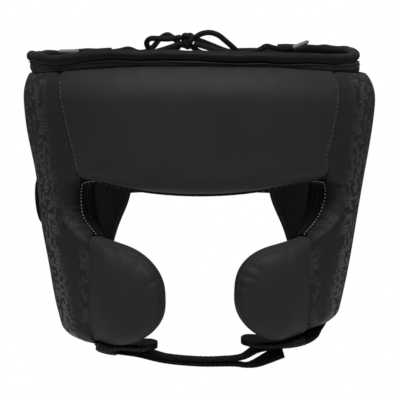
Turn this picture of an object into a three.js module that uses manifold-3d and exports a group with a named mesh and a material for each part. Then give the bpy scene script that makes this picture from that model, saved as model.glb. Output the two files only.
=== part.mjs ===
// Boxing head guard: padded panels round an open crown, with an eye opening, cheek pads and a chin strap.
// Millimetres, +Z up. The face looks along -Y and the wearer's left is +X.
// The origin is the middle of the top rim, where the crown of the head sits.
import * as THREE from "three";
import { LoftGeometry } from "three/addons/geometries/LoftGeometry.js";
import { mergeVertices } from "three/addons/utils/BufferGeometryUtils.js";
import Module from "manifold-3d";

// Seam surface of the guard, as an oval at each height: half width, depths from the axis, lean to the left
const OVALS = [
  { z: -200, side: 87, front: 93, back: 88, lean: -0.5 },
  { z: -140, side: 100.5, front: 100, back: 99, lean: 0 },
  { z: -90, side: 108, front: 103, back: 106, lean: 0 },
  { z: -40, side: 116, front: 104, back: 108, lean: 0 },
  { z: -14, side: 114.6, front: 102, back: 107, lean: -2.2 },
  { z: 5, side: 110.8, front: 101, back: 106, lean: -5.6 },
];
const OVAL_SQUARENESS = 2.4;

// Clearances and thicknesses
const GAP = 0.4;
const RIM_DEPTH = 5; // padding depth inside the seam surface at the rim
const FRONT_DEPTH = 12; // the same over the brow
const SIDE_DEPTH = 24; // the same over the ears
const DEPTH_RAMP = 34; // height over which the padding reaches its depth
const LINING_THICKNESS = 2;
const LINING_CLEAR = 2.6;
const FREE_EDGE = 3.5; // pad thickness where it ends at a bound edge
const CREASE = 4; // how far a seam lies below the seam surface
const EYE_EDGE = -5.5; // height of the bound edge at the sides of the eye opening
const FOREHEAD_CROWN = 11; // how far a pad swells outside the seam surface
const SIDE_CROWN = 4;
const CHEEK_CROWN = 14;
const CHEEK_BACK = 17;

// Rim: pads end below it, the collar joins them to the rolled binding
const PAD_TOP_FRONT = -11.5;
const PAD_TOP_SIDE = -18.2;
const COLLAR_TOP = -7.3;
const COLLAR_THICKNESS = 3;
const RIM_ROLL = { height: 7, depth: 6, inset: 1.5 };
// Rises and dips of the rim round the guard, as waves by angle
const RIM_WAVE = { level: -1.7, lean: 0.8, bow: 0.85, twist: -1.05, dip: -1, dipAngle: 24, dipWidth: 15 };
const BINDING = { width: 3.6, depth: 4.4, clear: 3 };

// Forehead pad: lower edge droops in the middle
const BROW_MIDDLE = -91.5;
const BROW_RISE = 7;
const BROW_HALF_ANGLE = 44;

// Front and rear edges of a side pad, as angles from the middle of the face
const SIDE_FRONT = [
  { z: -200, angle: 46.6 },
  { z: -163, angle: 43.8 },
  { z: -140, angle: 41.4 },
  { z: -128, angle: 41.2 },
  { z: -122.5, angle: 42.4 },
  { z: -119.5, angle: 43.8 },
  { z: -115, angle: 46.4 },
  { z: -109, angle: 48.5 },
  { z: -101, angle: 49.5 },
  { z: -92, angle: 49 },
  { z: -88, angle: 47.6 },
  { z: -84, angle: 44.9 },
  { z: -70, angle: 45.7 },
  { z: -50, angle: 48.1 },
  { z: -25, angle: 50.4 },
  { z: -14, angle: 49.4 },
  { z: 5, angle: 44 },
];
const SIDE_REAR = [
  { z: -200, angle: 119 },
  { z: -132, angle: 134.5 },
  { z: -106, angle: 143 },
  { z: -60, angle: 146 },
  { z: 5, angle: 147 },
];
// Lower edge of each side pad: the chin strap draws the left one up a little
const SIDE_BOTTOM = [
  { across: 0, left: -186.8, right: -193.6 },
  { across: 0.3, left: -187, right: -196 },
  { across: 0.5, left: -187, right: -197 },
  { across: 0.62, left: -182, right: -191 },
  { across: 0.8, left: -160, right: -166 },
  { across: 1, left: -136, right: -137 },
];
const EAR = { angle: 93, z: -128, halfWidth: 14, halfHeight: 22 };

// Cheek pad: from its seam to a rounded free end beside the mouth
const CHEEK_TIP_ANGLE = 13.2;
const CHEEK_TOP = [
  { across: 0, left: -123.6, right: -123 },
  { across: 0.5, left: -128, right: -128.5 },
  { across: 1, left: -133, right: -138 },
];
const CHEEK_BOTTOM = [
  { across: 0, left: -189, right: -189 },
  { across: 0.5, left: -191, right: -192 },
  { across: 1, left: -181.5, right: -186 },
];

// Rear strap, by angle round the back from the wearer's left
const REAR_STRAP = [
  { angle: 112, low: -112, high: -50, out: 6.4 },
  { angle: 150, low: -110, high: -47, out: 5 },
  { angle: 210, low: -110, high: -47, out: 5 },
  { angle: 228, low: -115, high: -54, out: 6.4 },
  { angle: 240, low: -121, high: -70, out: 7 },
  { angle: 250, low: -125, high: -88, out: 8 },
  { angle: 261, low: -127, high: -97, out: 8.8 },
];
const REAR_STRAP_THICKNESS = 3;
const DEGREE = 2; // arc length of one degree there

// Chin strap: centre line, and how far its inner edge is tilted up, in degrees
const STRAP = { width: 22, thickness: 2.2 };
const CHIN_STRAP_RIGHT = [
  { x: -68, y: -64, z: -194.8, tilt: 0 },
  { x: -66.6, y: -64, z: -197.6, tilt: 0 },
  { x: -60, y: -64.8, z: -199.8, tilt: 0 },
  { x: -50, y: -66.5, z: -201.1, tilt: -2 },
  { x: -41, y: -67.8, z: -202.4, tilt: -3 },
  { x: -23, y: -69, z: -206.4, tilt: -3 },
  { x: 0, y: -70, z: -208.4, tilt: -3 },
  { x: 23, y: -70, z: -208.6, tilt: -4 },
  { x: 31, y: -70, z: -209.4, tilt: -4 },
  { x: 37, y: -70, z: -208.1, tilt: 2 },
  { x: 46, y: -69.5, z: -204.1, tilt: 9 },
  { x: 55, y: -69, z: -200.5, tilt: 10 },
];
const CHIN_STRAP_LEFT = [
  { x: 75.5, y: -18, z: -188.6, tilt: 0 },
  { x: 74.4, y: -25, z: -188.9, tilt: 0 },
  { x: 71.8, y: -38, z: -189.8, tilt: 0 },
  { x: 67.6, y: -53, z: -192.9, tilt: 3 },
  { x: 58.5, y: -65.2, z: -195.2, tilt: 5 },
  { x: 46, y: -67.2, z: -196.6, tilt: 5 },
  { x: 37, y: -68.5, z: -199, tilt: 1 },
  { x: 28, y: -69.3, z: -204, tilt: -3 },
  { x: 14, y: -69.6, z: -205.6, tilt: -3 },
  { x: 0, y: -69.5, z: -205.8, tilt: -3 },
  { x: -23, y: -69, z: -203.8, tilt: -3 },
  { x: -37, y: -68.5, z: -200.2, tilt: 2 },
];
const CHIN_TAB_RIGHT = [
  { x: -58.5, y: -69, z: -197.1, tilt: 1 },
  { x: -48, y: -71, z: -195.4, tilt: 5 },
  { x: -28, y: -73, z: -196, tilt: 7 },
];
const CHIN_TAB_LEFT = [
  { x: 68, y: -66, z: -191.6, tilt: 5 },
  { x: 48, y: -71, z: -193.2, tilt: 8 },
  { x: 27, y: -73, z: -191.8, tilt: 10 },
];

// Lace: woven through slots in the collar, tied in a bow over the back of the crown
const LACE_DIAMETER = 3.6;
const LACE_HEIGHT = -13.6;
const SLOT_ANGLES = [106, 118, 131, 141];
const KNOT = { x: -8.6, y: 33, z: 3.6, halfWidth: 5, halfDepth: 5.5, halfHeight: 6.8 };
const LOOP_LEFT = [
  { x: -3.3, y: 31, z: 5.6 },
  { x: 1, y: 29.2, z: 8 },
  { x: 7, y: 28, z: 8.9 },
  { x: 12.6, y: 28, z: 7.2 },
  { x: 18, y: 29, z: 3 },
  { x: 22.8, y: 31.6, z: -1.2 },
  { x: 26.2, y: 37.2, z: -4.6 },
  { x: 24, y: 43.6, z: -5.6 },
  { x: 17, y: 46.4, z: -3.6 },
  { x: 9, y: 44, z: -0.4 },
  { x: 2, y: 39.6, z: 2.4 },
  { x: -3.2, y: 35.4, z: 4.2 },
];
const LOOP_RIGHT = [
  { x: -13.7, y: 31, z: 5.6 },
  { x: -18, y: 29.2, z: 4.9 },
  { x: -24, y: 28, z: 4.4 },
  { x: -30, y: 28.2, z: 4.8 },
  { x: -34.8, y: 30.8, z: 4.6 },
  { x: -37.4, y: 35.4, z: 1.8 },
  { x: -36, y: 40.4, z: -2.2 },
  { x: -31, y: 43.2, z: -5.6 },
  { x: -25, y: 43.6, z: -7 },
  { x: -18.6, y: 40.6, z: -4.4 },
  { x: -13.2, y: 36, z: 1.1 },
];
const TAIL_LEFT = [
  { x: -5.8, y: 36.9, z: -0.8 },
  { x: 1, y: 46.8, z: -5.4 },
  { x: 13, y: 52, z: -6.6 },
  { x: 28, y: 53, z: -6.2 },
  { x: 38, y: 54, z: -5.2 },
  { x: 43, y: 55, z: -3.2 },
  { x: 47, y: 57, z: -1.1 },
  { x: 52, y: 60, z: -2.2 },
  { x: 57.5, y: 63.5, z: -3.2 },
  { x: 66, y: 68, z: -2.6 },
];
const TAIL_RIGHT = [
  { x: -9.6, y: 39, z: -0.3 },
  { x: -13, y: 43, z: 0.2 },
  { x: -17.6, y: 44.8, z: 3.8 },
  { x: -23, y: 46.2, z: 7.2 },
  { x: -28.4, y: 48, z: 4.2 },
  { x: -33, y: 49.8, z: -1.2 },
  { x: -38, y: 51, z: -4.6 },
  { x: -44, y: 51.4, z: -5.2 },
  { x: -50.5, y: 51.6, z: -3 },
  { x: -58, y: 52, z: -4.4 },
  { x: -70, y: 52, z: -5.4 },
  { x: -86, y: 49, z: -4.6 },
];
const AGLET = { diameter: 4.2, length: 14, riseLeft: 0.34, riseRight: 0 };

const { degToRad, smoothstep, lerp } = THREE.MathUtils;
const vec = ({ x, y, z }) => new THREE.Vector3(x, y, z);
const curveThrough = (points) => new THREE.CatmullRomCurve3(points, false, "centripetal");

// Smooth value of one column of a table at a place in another column, whose rows ascend
function read(rows, by, at, column) {
  const last = rows.length - 1;
  const place = Math.min(Math.max(at, rows[0][by]), rows[last][by]);
  let i = 0;
  while (i < last - 1 && place > rows[i + 1][by]) i += 1;
  const slope = (k) => {
    const a = rows[Math.max(k - 1, 0)];
    const b = rows[Math.min(k + 1, last)];
    return (b[column] - a[column]) / (b[by] - a[by]);
  };
  const span = rows[i + 1][by] - rows[i][by];
  const t = (place - rows[i][by]) / span;
  const rise = rows[i + 1][column] - rows[i][column];
  const bend = (1 - t) * (slope(i) * span - rise) - t * (slope(i + 1) * span - rise);
  return rows[i][column] + t * rise + t * (1 - t) * bend;
}

// Point of the seam surface at an angle from the middle of the face, moved outwards
function shell(angle, z, out) {
  const across = Math.sin(degToRad(angle));
  const along = -Math.cos(degToRad(angle));
  const side = read(OVALS, "z", z, "side");
  const depth = read(OVALS, "z", z, along < 0 ? "front" : "back");
  const n = OVAL_SQUARENESS;
  const radius = (Math.abs(across / side) ** n + Math.abs(along / depth) ** n) ** (-1 / n);
  const x = radius * across;
  const y = radius * along;
  const nx = (Math.sign(x) * Math.abs(x / side) ** (n - 1)) / side;
  const ny = (Math.sign(y) * Math.abs(y / depth) ** (n - 1)) / depth;
  const scale = out / Math.hypot(nx, ny);
  return new THREE.Vector3(x + nx * scale + read(OVALS, "z", z, "lean"), y + ny * scale, z);
}

// The rim of the soft guard isn't quite level
function rimLift(angle) {
  const turn = degToRad(angle);
  const dip = RIM_WAVE.dip * Math.exp(-(((angle - RIM_WAVE.dipAngle) / RIM_WAVE.dipWidth) ** 2));
  return RIM_WAVE.level + RIM_WAVE.lean * Math.sin(turn) + RIM_WAVE.bow * Math.cos(2 * turn)
    + RIM_WAVE.twist * Math.sin(2 * turn) + dip;
}

const padTop = (angle) => lerp(PAD_TOP_FRONT, PAD_TOP_SIDE, smoothstep(Math.abs(angle), 15, 80));
const browEdge = (angle) => BROW_MIDDLE + BROW_RISE * (angle / BROW_HALF_ANGLE) ** 2;
const sideFront = (z) => read(SIDE_FRONT, "z", z, "angle");
const sideRear = (z) => read(SIDE_REAR, "z", z, "angle");
const sideName = (sign) => (sign > 0 ? "left" : "right");

// Depth of the inner face of the padding below the seam surface
function innerDepth(angle, z) {
  const full = lerp(FRONT_DEPTH, SIDE_DEPTH, smoothstep(Math.abs(angle), 22, 76));
  return lerp(RIM_DEPTH, full, smoothstep(padTop(angle) - z, -4, DEPTH_RAMP));
}

// Closed solid through rings of points, capped across in strips, with its faces turned outwards
function loft(sections, caps) {
  const wall = new LoftGeometry(sections);
  const points = sections[0].length;
  const index = Array.from(wall.index.array);
  const strips = caps ? points / 2 - 1 : 0;
  for (let j = 0; j < strips; j += 1) {
    const [a, b, c, d] = [j, j + 1, points - 2 - j, points - 1 - j];
    const far = (sections.length - 1) * (points + 1);
    index.push(a, c, b, a, d, c, far + a, far + b, far + c, far + a, far + c, far + d);
  }
  const open = new THREE.BufferGeometry();
  open.setAttribute("position", wall.attributes.position);
  open.setIndex(index);
  const solid = mergeVertices(open);
  return volume(solid) > 0 ? solid : solid.setIndex(Array.from(solid.index.array).reverse());
}

function volume(geometry) {
  const { array } = geometry.attributes.position;
  const corner = (i) => new THREE.Vector3().fromArray(array, 3 * geometry.index.array[i]);
  let sum = 0;
  for (let i = 0; i < geometry.index.count; i += 3) {
    sum += corner(i).dot(corner(i + 1).cross(corner(i + 2))) / 6;
  }
  return sum;
}

// Outline of a pad on a square from -1 to 1, with its own corner sharpness on each half
function outline(turn, sharpness) {
  const c = Math.cos(turn);
  const s = Math.sin(turn);
  const m = c < 0 ? sharpness.near : sharpness.far;
  const reach = (Math.abs(c) ** m + Math.abs(s) ** m) ** (-1 / m);
  return { across: (1 + c * reach) / 2, up: (1 + s * reach) / 2 };
}

// Ring positions from the middle of a pad to its edge, closer together at the edge
const ringSteps = (count) => Array.from({ length: count + 1 }, (_, k) => 1 - (1 - k / count) ** 1.6);
const padReaches = (count) => [0.08, ...ringSteps(count).slice(1)];
const turns = (count) => Array.from({ length: count }, (_, k) => (2 * Math.PI * k) / count);
const swell = (reach, power) => Math.sqrt(Math.max(0, 1 - reach ** power));

// Pad solid: rings over the outer face to the edge, then back over the inner face
function padRings(reaches, around, sign, point, outer, inner) {
  const ring = (reach, face) => turns(around).map((turn) => {
    const { angle, z } = point(reach, turn);
    return shell(sign * angle, z, face(reach, turn, angle, z));
  });
  const outside = reaches.map((reach) => ring(reach, outer));
  const inside = reaches.slice().reverse().map((reach) => ring(reach, inner));
  return outside.concat(inside);
}

const innerFace = (reach, turn, angle, z) => -innerDepth(angle, z);

function foreheadPad() {
  const point = (reach, turn) => {
    const corner = Math.sin(turn) > 0 ? 40 : 10;
    const edge = outline(turn, { near: corner, far: corner });
    const across = lerp(0.5, edge.across, reach);
    const up = lerp(0.5, edge.up, reach);
    const guess = (2 * across - 1) * BROW_HALF_ANGLE;
    const z = lerp(browEdge(guess), padTop(guess), up);
    const half = sideFront(Math.max(z, -85)) - 0.3;
    return { angle: lerp(-half, half, across), z };
  };
  const outer = (reach, turn, angle, z) => {
    const depth = innerDepth(angle, z);
    const free = smoothstep(-Math.sin(turn), 0.25, 0.75) * (1 - smoothstep(Math.abs(angle), 36, 44));
    const edge = lerp(-CREASE, FREE_EDGE - depth, free);
    return lerp(Math.max(edge, FREE_EDGE - depth), FOREHEAD_CROWN, swell(reach, 4.5));
  };
  return loft(padRings(padReaches(6), 40, 1, point, outer, innerFace), true);
}

function sidePoint(reach, turn, sign) {
  const edge = outline(turn, { near: 30, far: Math.sin(turn) > 0 ? 12 : 5 });
  const low = read(SIDE_BOTTOM, "across", edge.across, sideName(sign));
  const z = lerp(low, padTop(lerp(50, 146, edge.across)), edge.up);
  const angle = lerp(sideFront(z) + 0.3, sideRear(z), edge.across);
  const earAngle = EAR.angle + (EAR.halfWidth / 105) * (180 / Math.PI) * Math.cos(turn);
  const earZ = EAR.z + EAR.halfHeight * Math.sin(turn);
  return { angle: lerp(earAngle, angle, reach), z: lerp(earZ, z, reach), edge: { angle, z } };
}

// A side pad is full in front and below, and thins to a bound edge behind and round the ear
function sidePad(sign) {
  const point = (reach, turn) => sidePoint(reach, turn, sign);
  const outer = (reach, turn, angle, z) => {
    const depth = innerDepth(angle, z);
    const rim = point(1, turn).edge;
    const front = 1 - smoothstep(rim.angle, 56, 66);
    const eye = front * smoothstep(rim.z, -124, -116) * (1 - smoothstep(rim.z, -92, -85));
    const top = smoothstep(rim.z, padTop(rim.angle) - 8, padTop(rim.angle) - 1);
    const thick = Math.max(1 - smoothstep(rim.angle, 84, 108), top);
    const seam = lerp(-CREASE, EYE_EDGE, eye);
    const edge = Math.max(lerp(FREE_EDGE - depth, seam, thick), FREE_EDGE - depth);
    const fromEdge = lerp(edge, SIDE_CROWN, swell(reach, 8));
    return lerp(0.45 * -depth, fromEdge, swell(1 - reach, 9));
  };
  const rings = padRings(ringSteps(6), 40, sign, point, outer, innerFace);
  return loft(rings.concat([rings[0]]), false);
}

function cheekPad(sign) {
  const point = (reach, turn) => {
    const edge = outline(turn, { near: 9, far: 2.7 });
    const across = lerp(0.45, edge.across, reach);
    const up = lerp(0.5, edge.up, reach);
    const low = read(CHEEK_BOTTOM, "across", across, sideName(sign));
    const z = lerp(low, read(CHEEK_TOP, "across", across, sideName(sign)), up);
    const seam = sideFront(Math.min(z, -126)) - 0.35;
    return { angle: lerp(seam, CHEEK_TIP_ANGLE, across), z };
  };
  const seamed = (turn) => smoothstep(-Math.cos(turn), 0.45, 0.8);
  const outer = (reach, turn) => lerp(lerp(-1, -CREASE, seamed(turn)), CHEEK_CROWN, swell(reach, 3.6));
  const inner = (reach, turn) => -lerp(lerp(4.5, 18, seamed(turn)), CHEEK_BACK, swell(reach, 3.6));
  return loft(padRings(padReaches(5), 32, sign, point, outer, inner), true);
}

// Inner wall in one piece: under the brow in front, down to the lower edge behind the eye opening
function lining() {
  const columns = [];
  const noseEnd = 0.37;
  const steps = 6;
  for (let k = 0; k <= 12; k += 1) columns.push(noseEnd + 0.025 + ((1 - noseEnd - 0.025) * k) / 12);
  for (let k = 0; k <= 8; k += 1) columns.push((noseEnd * k) / 8);
  const places = [...new Set([...columns, ...columns.map((c) => -c)])].sort((a, b) => a - b);
  const lowSide = (back, place) => read(SIDE_BOTTOM, "across", back, sideName(place));
  const sections = places.map((place) => {
    const reach = Math.abs(place);
    const back = (reach - noseEnd) / (1 - noseEnd);
    const low = reach <= noseEnd ? browEdge(reach * 120) : lowSide(back, place) + 6 + 9 * smoothstep(back, 0.72, 1);
    const high = padTop(place * 146) - 1;
    const edge = 1 - 0.02 * smoothstep(reach, 0.9, 1);
    const wall = (t, extra) => {
      const z = lerp(low, high, t);
      const angle = place * edge * sideRear(z);
      return shell(angle, z, -innerDepth(angle, z) - LINING_CLEAR - extra);
    };
    const rise = Array.from({ length: steps + 1 }, (_, k) => k / steps);
    const facing = rise.map((t) => wall(t, LINING_THICKNESS));
    return rise.map((t) => wall(t, 0)).concat(facing.reverse());
  });
  return loft(sections, true);
}

// Plug through the ear opening, a little wider than the pad's own hole, to cut the lining
function earHole(sign) {
  const ring = (out) => turns(20).map((turn) => {
    const { angle, z } = sidePoint(-0.03, turn, sign);
    return shell(sign * angle, z, out);
  });
  return loft([ring(-10), ring(-45)], true);
}

// Oval section set square to a path, for the bindings
function bound(points, width, depth, sides) {
  const sections = points.map((point, i) => {
    const ahead = points[Math.min(i + 1, points.length - 1)].clone().sub(points[Math.max(i - 1, 0)]).normalize();
    const outward = new THREE.Vector3(point.x, point.y, 0).normalize();
    const across = new THREE.Vector3().crossVectors(ahead, outward).normalize();
    const lift = new THREE.Vector3().crossVectors(across, ahead).normalize();
    return turns(sides).map((turn) => point.clone()
      .addScaledVector(across, (Math.cos(turn) * width) / 2)
      .addScaledVector(lift, (Math.sin(turn) * depth) / 2));
  });
  return loft(sections, true);
}

const spread = (count, from, to) => Array.from({ length: count + 1 }, (_, k) => lerp(from, to, k / count));

function topBinding() {
  const end = sideRear(0);
  const path = spread(46, -end, end).map((angle) => shell(angle, rimLift(angle) - RIM_ROLL.height / 2, -RIM_ROLL.inset));
  return bound(path, RIM_ROLL.height, RIM_ROLL.depth, 8);
}

function collar() {
  const end = sideRear(0);
  const sections = spread(46, -end, end).map((angle) => {
    const low = padTop(angle) + 3 * GAP;
    const high = COLLAR_TOP + rimLift(angle);
    const ring = [[low, 0], [high, 0], [high, -COLLAR_THICKNESS], [low, -COLLAR_THICKNESS]];
    return ring.map(([z, out]) => shell(angle, z, out));
  });
  return loft(sections, true);
}

// Binding along the brow and down both sides of the eye opening
function faceBinding() {
  const half = spread(10, 0, 42).map((angle) => ({ angle, z: browEdge(angle) - BINDING.clear }));
  for (const z of [-92, -96, -100, -105, -110, -115, -119]) {
    half.push({ angle: sideFront(z) - 2.4, z });
  }
  const other = half.slice(1).reverse().map(({ angle, z }) => ({ angle: -angle, z }));
  const path = other.concat(half).map(({ angle, z }) => shell(angle, z, -FRONT_DEPTH - 0.3));
  return bound(path, BINDING.width, BINDING.depth, 6);
}

// Binding down the rear edge of a side pad and forward along its lower edge
function edgeBinding(sign) {
  const path = spread(24, 0.19 * Math.PI, -0.55 * Math.PI).map((turn) => {
    const { angle, z } = sidePoint(1.085, turn, sign);
    return shell(sign * angle, z, -innerDepth(angle, z) - 0.3);
  });
  return bound(path, BINDING.width, BINDING.depth, 6);
}

// Flat strap with beveled edges: its width lies along `aside` at each row, its ends are rounded where asked
function strapSections(rows, thickness) {
  return rows.map(({ point, aside, face, half }) => {
    const bevel = Math.min(thickness / 2, half * 0.5);
    const ring = [[-half, 0], [bevel - half, 1], [half - bevel, 1], [half, 0], [half - bevel, -1], [bevel - half, -1]];
    return ring.map(([w, f]) => point.clone()
      .addScaledVector(aside, w)
      .addScaledVector(face, (f * thickness) / 2));
  });
}

const rounded = (toEnd, half) => half * Math.sqrt(Math.max(0.04, 1 - Math.max(0, 1 - toEnd / half) ** 2));

function chinPiece(table, roundEnd) {
  const curve = curveThrough(table.map(vec));
  const length = curve.getLength();
  const steps = Math.ceil(length / 7);
  const half = STRAP.width / 2;
  const ends = [0, 0.03, 0.08, 0.16].map((t) => 1 - (t * STRAP.width) / length / 0.32);
  const places = spread(steps, 0, 1).filter((t) => !roundEnd || t < ends[3] - 0.01);
  if (roundEnd) places.push(...ends.slice().reverse());
  const inward = Math.sign(table[table.length - 1].x - table[0].x);
  const rows = places.map((t) => {
    const f = curve.getUtoTmapping(t) * (table.length - 1);
    const i = Math.min(Math.floor(f), table.length - 2);
    const tilt = degToRad(lerp(table[i].tilt, table[i + 1].tilt, f - i));
    const ahead = curve.getTangentAt(t);
    const flat = new THREE.Vector3(-ahead.y, ahead.x, 0).normalize().multiplyScalar(inward);
    const aside = flat.multiplyScalar(Math.cos(tilt)).setZ(Math.sin(tilt));
    const face = new THREE.Vector3().crossVectors(ahead, aside).normalize();
    return { point: curve.getPointAt(t), aside, face, half: roundEnd ? rounded((1 - t) * length, half) : half };
  });
  return loft(strapSections(rows, STRAP.thickness), true);
}

function rearStrap() {
  const first = REAR_STRAP[0].angle;
  const last = REAR_STRAP[REAR_STRAP.length - 1].angle;
  const angles = spread(26, first, last - 8).concat([last - 5.5, last - 3, last - 1.2, last - 0.3]);
  const rows = angles.map((angle) => {
    const low = read(REAR_STRAP, "angle", angle, "low");
    const high = read(REAR_STRAP, "angle", angle, "high");
    const middle = (low + high) / 2;
    const out = read(REAR_STRAP, "angle", angle, "out");
    const point = shell(angle, middle, out);
    const aside = shell(angle, high, out).sub(shell(angle, low, out)).normalize();
    const ahead = shell(angle + 1, middle, out).sub(shell(angle - 1, middle, out)).normalize();
    const face = new THREE.Vector3().crossVectors(aside, ahead).normalize();
    const half = (high - low) / 2;
    return { point, aside, face, half: rounded((last - angle) * DEGREE, half) };
  });
  return loft(strapSections(rows, REAR_STRAP_THICKNESS), true);
}

// Round lace along a smooth path
function laceTube(points, steps, radius) {
  const section = new THREE.Shape(turns(6).map((turn) => new THREE.Vector2(Math.cos(turn), Math.sin(turn))
    .multiplyScalar(radius)));
  const options = { steps, extrudePath: curveThrough(points), bevelEnabled: false };
  const tube = new THREE.ExtrudeGeometry(section, options).deleteAttribute("uv").deleteAttribute("normal");
  return mergeVertices(tube);
}

// Lace path: out and in through a pair of slots on one side, across to the other side, and back to the knot
function laceWeave() {
  const [a, b, c, d] = SLOT_ANGLES;
  const at = (angle, out) => shell(angle, LACE_HEIGHT, out);
  const inside = (angle) => (angle === b || angle === c ? { turn: 2.2, out: -11 } : { turn: 5.5, out: -8.5 });
  const pair = (sign, from, to) => {
    const step = Math.sign(to - from);
    const [first, last] = [inside(from), inside(to)];
    return [[from - first.turn * step, first.out], [from, -1.5], [(from + to) / 2, 4.4], [to, -1.5],
      [to + last.turn * step, last.out]].map(([angle, out]) => at(sign * angle, out));
  };
  const knotSide = (sign) => new THREE.Vector3(KNOT.x + sign * 4.6, KNOT.y - 3.6, KNOT.z - 2.4);
  const slack = (x, y, z) => new THREE.Vector3(x, y, z);
  return [
    knotSide(1), slack(20, 23.5, -5), slack(55, 22, -7.5), ...pair(1, a, b),
    slack(40, 64, LACE_HEIGHT - 3.4), slack(-40, 68, LACE_HEIGHT - 3.4), ...pair(-1, c, d),
    slack(-30, 93, LACE_HEIGHT - 1), slack(30, 93, LACE_HEIGHT - 1), ...pair(1, d, c),
    slack(45, 70, LACE_HEIGHT + 9), slack(-40, 64, LACE_HEIGHT + 2.6), ...pair(-1, b, a),
    slack(-60, 22, -7.5), slack(-34, 23.5, -5), knotSide(-1),
  ];
}

function aglet(table, rise) {
  const end = vec(table[table.length - 1]);
  const flat = end.clone().sub(vec(table[table.length - 2])).setZ(0).normalize();
  const ahead = flat.setZ(rise).normalize();
  const tip = new THREE.CylinderGeometry(AGLET.diameter / 2, AGLET.diameter / 2, AGLET.length, 10);
  tip.applyQuaternion(new THREE.Quaternion().setFromUnitVectors(new THREE.Vector3(0, 1, 0), ahead));
  const middle = end.addScaledVector(ahead, AGLET.length / 2 + 2 * GAP);
  return tip.translate(middle.x, middle.y, middle.z);
}

// Boolean cut of one closed solid by another
async function cut(body, tools) {
  const wasm = await Module();
  wasm.setup();
  const solid = (geometry) => {
    const merged = mergeVertices(geometry, 1e-3);
    return new wasm.Manifold(new wasm.Mesh({
      numProp: 3,
      vertProperties: new Float32Array(merged.attributes.position.array),
      triVerts: new Uint32Array(merged.index.array),
    }));
  };
  const result = tools.reduce((left, tool) => left.subtract(solid(tool)), solid(body)).getMesh();
  const geometry = new THREE.BufferGeometry();
  geometry.setAttribute("position", new THREE.Float32BufferAttribute(result.vertProperties, 3));
  geometry.setIndex(Array.from(result.triVerts));
  return geometry;
}

const LEATHER = { color: 0x2a2b2d, roughness: 0.55 };
const TEXTILE = { color: 0x101012, roughness: 0.9 };
const WEBBING = { color: 0x1a1a1c, roughness: 0.8 };
const CORD = { color: 0x151516, roughness: 0.85 };
const CLEAR_TIP = { color: 0x9a9b9c, roughness: 0.35 };

const group = new THREE.Group();
group.name = "head_guard";

function add(name, geometry, look) {
  const mesh = new THREE.Mesh(geometry, new THREE.MeshStandardMaterial({ ...look, metalness: 0 }));
  mesh.name = name;
  group.add(mesh);
}

const weave = laceWeave();
const LACE_STEPS = 62;

add("lining", await cut(lining(), [earHole(1), earHole(-1)]), TEXTILE);
add("forehead_pad", foreheadPad(), LEATHER);
add("side_pad_left", sidePad(1), LEATHER);
add("side_pad_right", sidePad(-1), LEATHER);
add("cheek_pad_left", cheekPad(1), LEATHER);
add("cheek_pad_right", cheekPad(-1), LEATHER);
add("collar", await cut(collar(), [laceTube(weave, LACE_STEPS, LACE_DIAMETER / 2 + 0.5)]), TEXTILE);
add("top_binding", topBinding(), LEATHER);
add("face_binding", faceBinding(), TEXTILE);
add("edge_binding_left", edgeBinding(1), TEXTILE);
add("edge_binding_right", edgeBinding(-1), TEXTILE);
add("rear_strap", rearStrap(), WEBBING);
add("chin_tab_left", chinPiece(CHIN_TAB_LEFT, true), LEATHER);
add("chin_tab_right", chinPiece(CHIN_TAB_RIGHT, true), LEATHER);
add("chin_strap_left", chinPiece(CHIN_STRAP_LEFT, false), WEBBING);
add("chin_strap_right", chinPiece(CHIN_STRAP_RIGHT, false), WEBBING);
add("crown_lace", laceTube(weave, LACE_STEPS, LACE_DIAMETER / 2), CORD);
add("lace_loop_left", laceTube(LOOP_LEFT.map(vec), 16, LACE_DIAMETER / 2), CORD);
add("lace_loop_right", laceTube(LOOP_RIGHT.map(vec), 16, LACE_DIAMETER / 2), CORD);
add("lace_tail_left", laceTube(TAIL_LEFT.map(vec), 14, LACE_DIAMETER / 2), CORD);
add("lace_tail_right", laceTube(TAIL_RIGHT.map(vec), 14, LACE_DIAMETER / 2), CORD);
const knot = new THREE.SphereGeometry(1, 10, 7);
knot.scale(KNOT.halfWidth, KNOT.halfDepth, KNOT.halfHeight).translate(KNOT.x, KNOT.y, KNOT.z);
add("lace_knot", knot, CORD);
add("aglet_left", aglet(TAIL_LEFT, AGLET.riseLeft), CLEAR_TIP);
add("aglet_right", aglet(TAIL_RIGHT, AGLET.riseRight), CLEAR_TIP);

export default group;
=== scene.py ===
import math

import bmesh
import bpy
import numpy as np
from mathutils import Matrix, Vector


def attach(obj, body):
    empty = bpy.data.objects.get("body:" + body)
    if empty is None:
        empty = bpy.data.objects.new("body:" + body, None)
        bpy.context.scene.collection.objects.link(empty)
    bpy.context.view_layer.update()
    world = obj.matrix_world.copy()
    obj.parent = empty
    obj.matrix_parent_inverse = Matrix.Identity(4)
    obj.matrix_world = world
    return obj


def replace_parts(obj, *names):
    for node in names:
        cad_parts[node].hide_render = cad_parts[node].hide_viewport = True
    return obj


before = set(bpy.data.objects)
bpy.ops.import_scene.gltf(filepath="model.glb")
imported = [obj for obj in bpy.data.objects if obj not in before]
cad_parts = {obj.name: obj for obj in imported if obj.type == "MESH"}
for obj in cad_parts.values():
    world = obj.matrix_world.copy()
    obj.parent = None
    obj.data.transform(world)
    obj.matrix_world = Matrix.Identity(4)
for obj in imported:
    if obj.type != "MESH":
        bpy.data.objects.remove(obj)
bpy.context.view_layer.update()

# Boxing head guard: soft pads, lining, bindings, straps and laces, in the frame of the solids.
# Lengths are millimetres until a mesh is made. The face looks along -Y and the wearer's left is +X.
MM = 0.001
SEED = 20

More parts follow.
